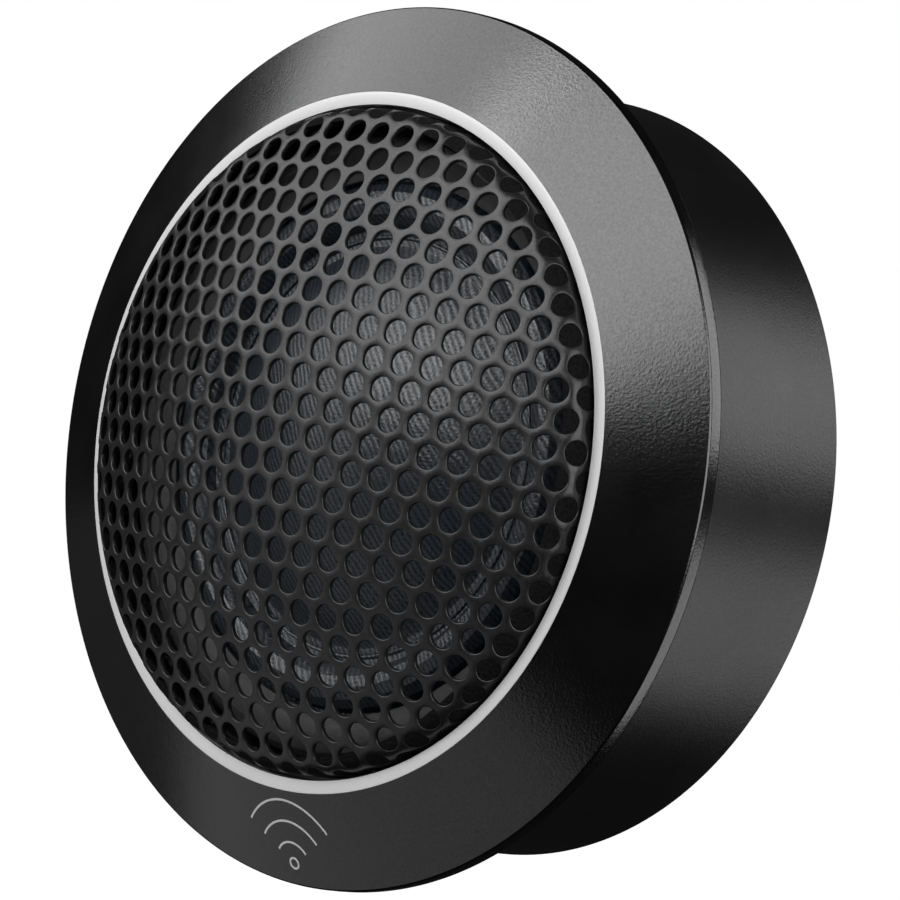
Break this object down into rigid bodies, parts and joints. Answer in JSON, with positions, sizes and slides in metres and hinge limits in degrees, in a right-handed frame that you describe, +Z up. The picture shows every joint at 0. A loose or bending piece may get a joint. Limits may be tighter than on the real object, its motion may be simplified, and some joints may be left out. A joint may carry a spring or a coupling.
{
  "type": "car tweeter",
  "caption": "Flush-mount round car tweeter: silk dome behind a domed perforated grille, in a conical flange with a bright trim ring and a short cylindrical rear housing.",
  "frame": {"origin": "on the tweeter's axis, in the plane of the flange's rear face, which seats on the panel", "axes": "+Y runs along the axis into the panel, towards the rear housing and the terminals; the grille faces -Y; +Z is up, with the terminals and the engraved mark at the bottom"},
  "size_m": [0.054, 0.0302, 0.054],
  "materials": {
    "flange_black": "satin black, fine bead-blasted grain",
    "housing_black": "satin black anodised",
    "grille_black": "semi-matte black powder coat",
    "bright_trim": "fine-turned bright, satin",
    "black_plastic": "moulded, semi-matte",
    "foam_rubber": "matte closed-cell foam",
    "silk": "coated woven silk",
    "felt": "pressed felt",
    "bare_aluminium": "rolled foil",
    "copper": "copper, lacquered",
    "plated_steel": "zinc plated",
    "nickel": "nickel plated",
    "tinned_brass": "tin plated",
    "red_insulation": "smooth wire insulation",
    "black_insulation": "smooth wire insulation"
  },
  "bodies": {
    "frame": {"bezel_flange": "flange_black", "trim_ring": "bright_trim", "grille": "grille_black", "grille_gasket": "foam_rubber", "faceplate": "black_plastic", "surround": "silk", "diaphragm_ring": "black_plastic", "coil_lead_positive": "copper", "coil_lead_negative": "copper", "copper_cap": "copper", "pole_plate": "plated_steel", "pole_damping_pad": "felt", "magnet": "nickel", "yoke_cup": "plated_steel", "motor_chassis": "black_plastic", "driver_screw_1": "plated_steel", "driver_screw_2": "plated_steel", "driver_screw_3": "plated_steel", "chamber_foam": "foam_rubber", "rear_damping_pad": "felt", "solder_tag_positive": "tinned_brass", "solder_tag_negative": "tinned_brass", "inner_lead_positive": "red_insulation", "inner_lead_negative": "black_insulation", "rear_housing": "housing_black", "cover_seal": "foam_rubber", "rear_cover": "black_plastic", "cover_screw_1": "plated_steel", "cover_screw_2": "plated_steel", "cover_screw_3": "plated_steel", "terminal_block": "black_plastic", "terminal_positive": "tinned_brass", "terminal_negative": "tinned_brass"},
    "diaphragm": {"dome": "silk", "voice_coil_former": "bare_aluminium", "voice_coil": "copper"}
  },
  "joints": [
    {"name": "diaphragm_travel", "type": "slide", "parent": "frame", "child": "diaphragm", "axis": [0, -1, 0], "range_m": [-0.0004, 0.0004], "stiffness_N_per_m": 300, "deforming": ["surround", "coil_lead_positive", "coil_lead_negative"]}
  ]
}
